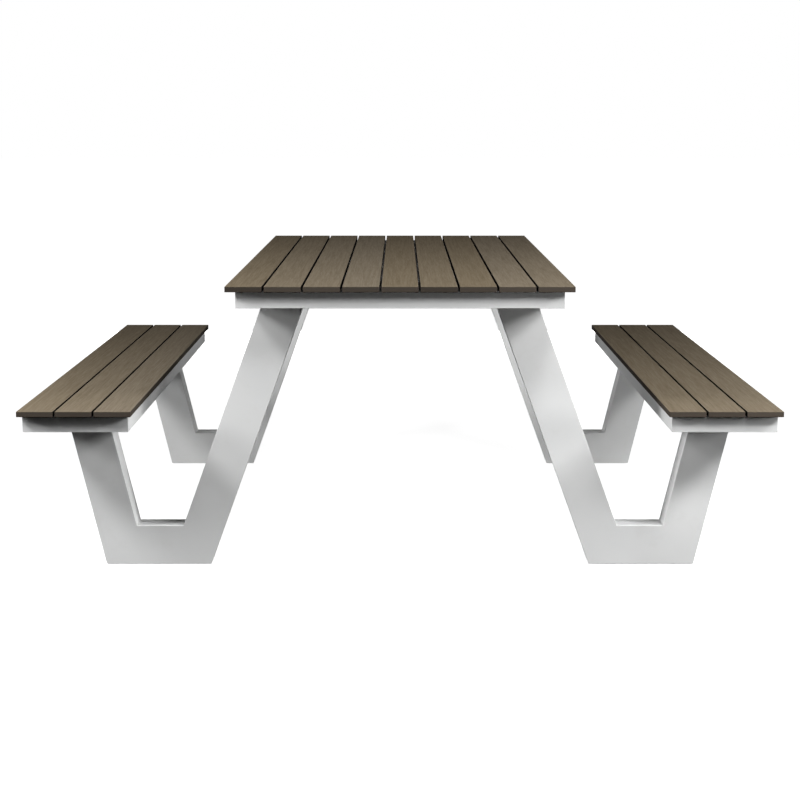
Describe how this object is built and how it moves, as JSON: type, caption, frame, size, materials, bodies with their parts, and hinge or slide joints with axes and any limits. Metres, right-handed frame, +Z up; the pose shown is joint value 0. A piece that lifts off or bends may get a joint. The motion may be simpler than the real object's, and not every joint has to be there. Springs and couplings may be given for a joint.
{
  "type": "picnic table",
  "caption": "Picnic table with a slatted top and attached slatted benches, carried on U-shaped leg frames of mitred rectangular tube with leaning arms.",
  "frame": {"origin": "on the floor under the middle of the table", "axes": "+X across the table from the left bench to the right bench, +Y along the slats from the front end to the rear end, +Z up"},
  "size_m": [1.9, 1.8, 0.75],
  "materials": {
    "slats": "matte",
    "frame": "satin",
    "glides": "matte",
    "fasteners": "satin"
  },
  "bodies": {
    "root": {"front_left_bench_arm": "frame", "front_left_foot_tube": "frame", "front_left_inner_glide": "glides", "front_left_outer_glide": "glides", "front_left_table_arm": "frame", "front_right_bench_arm": "frame", "front_right_foot_tube": "frame", "front_right_inner_glide": "glides", "front_right_outer_glide": "glides", "front_right_table_arm": "frame", "left_bench_front_leg_rail": "frame", "left_bench_front_middle_rail": "frame", "left_bench_front_rail": "frame", "left_bench_left_rail": "frame", "left_bench_rear_leg_rail": "frame", "left_bench_rear_middle_rail": "frame", "left_bench_rear_rail": "frame", "left_bench_right_rail": "frame", "left_bench_slat_1": "slats", "left_bench_slat_2": "slats", "left_bench_slat_3": "slats", "rear_left_bench_arm": "frame", "rear_left_foot_tube": "frame", "rear_left_inner_glide": "glides", "rear_left_outer_glide": "glides", "rear_left_table_arm": "frame", "rear_right_bench_arm": "frame", "rear_right_foot_tube": "frame", "rear_right_inner_glide": "glides", "rear_right_outer_glide": "glides", "rear_right_table_arm": "frame", "right_bench_front_leg_rail": "frame", "right_bench_front_middle_rail": "frame", "right_bench_front_rail": "frame", "right_bench_left_rail": "frame", "right_bench_rear_leg_rail": "frame", "right_bench_rear_middle_rail": "frame", "right_bench_rear_rail": "frame", "right_bench_right_rail": "frame", "right_bench_slat_1": "slats", "right_bench_slat_2": "slats", "right_bench_slat_3": "slats", "table_front_leg_rail": "frame", "table_front_middle_rail": "frame", "table_front_rail": "frame", "table_left_rail": "frame", "table_rear_leg_rail": "frame", "table_rear_middle_rail": "frame", "table_rear_rail": "frame", "table_right_rail": "frame", "table_slat_1": "slats", "table_slat_2": "slats", "table_slat_3": "slats", "table_slat_4": "slats", "table_slat_5": "slats", "table_slat_6": "slats", "table_slat_7": "slats", "table_slat_8": "slats", "table_slat_9": "slats"}
  },
  "joints": []
}
